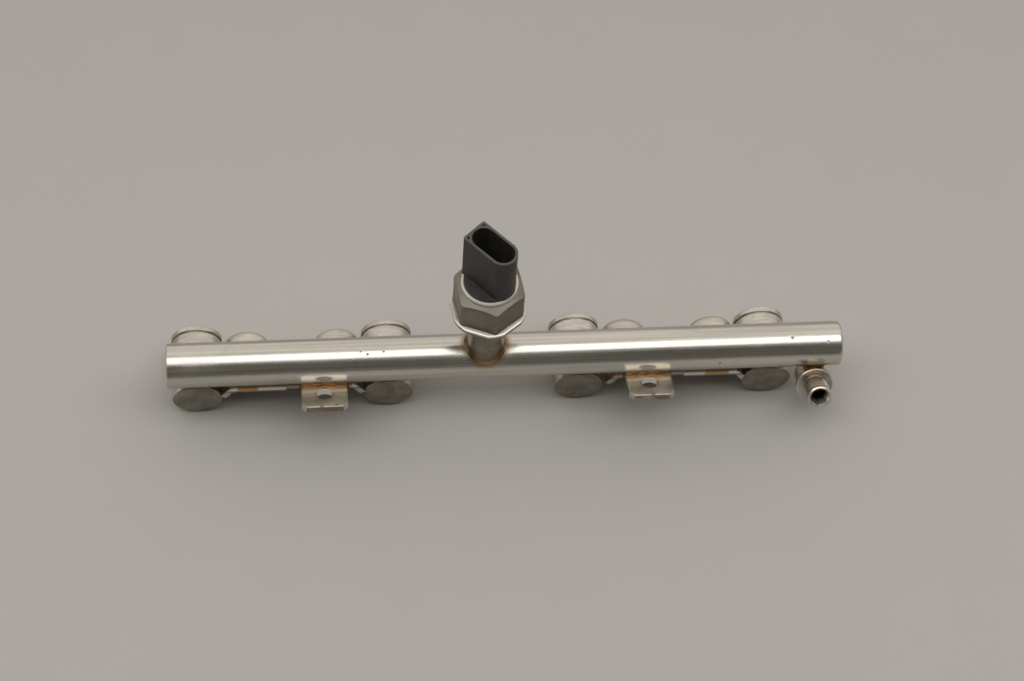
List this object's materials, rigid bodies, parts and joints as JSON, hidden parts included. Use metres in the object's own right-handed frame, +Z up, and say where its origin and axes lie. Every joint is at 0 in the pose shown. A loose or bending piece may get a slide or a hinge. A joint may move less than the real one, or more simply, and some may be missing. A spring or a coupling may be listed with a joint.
{
  "type": "fuel rail",
  "caption": "Straight high-pressure tube with injector cups under it, stamped mounting brackets with bolt sleeves, a threaded inlet and a pressure sensor on top.",
  "frame": {"origin": "middle of the footprint, on the surface that the injector cups rest on", "axes": "+X along the tube towards the inlet, +Y to the rear, the way the injector cups open, +Z up"},
  "size_m": [0.3164, 0.054, 0.1207],
  "materials": {
    "tube_steel": "satin drawn stainless steel with heat tint beside the braze joints",
    "cup_steel": "dull turned stainless steel",
    "bracket_steel": "stamped stainless sheet, coppery at the brazed bend",
    "sleeve_steel": "satin turned stainless steel",
    "fitting_steel": "bright turned stainless steel",
    "boss_steel": "turned stainless steel, brown from brazing",
    "sensor_steel": "dull zinc-nickel grey steel",
    "plug_steel": "dull turned stainless steel",
    "connector_plastic": "matt black glass-filled plastic",
    "seal_rubber": "black rubber",
    "ring_plastic": "pale moulded plastic",
    "board": "green board",
    "element_steel": "fine turned stainless steel",
    "blade_brass": "tinned copper alloy"
  },
  "bodies": {
    "root": {"rail_tube": "tube_steel", "injector_cup_1": "cup_steel", "injector_cup_2": "cup_steel", "injector_cup_3": "cup_steel", "injector_cup_4": "cup_steel", "bracket_left": "bracket_steel", "bracket_right": "bracket_steel", "mounting_sleeve_1": "sleeve_steel", "mounting_sleeve_2": "sleeve_steel", "mounting_sleeve_3": "sleeve_steel", "mounting_sleeve_4": "sleeve_steel", "sensor_boss": "boss_steel", "inlet_fitting": "fitting_steel", "sensor_housing": "sensor_steel", "sensor_connector": "connector_plastic", "end_plug_left": "plug_steel", "end_plug_right": "plug_steel", "sensing_element": "element_steel", "element_ring": "ring_plastic", "sensor_board": "board", "sensor_seal": "seal_rubber", "sensor_terminal_1": "blade_brass", "sensor_terminal_2": "blade_brass", "sensor_terminal_3": "blade_brass"}
  },
  "joints": []
}
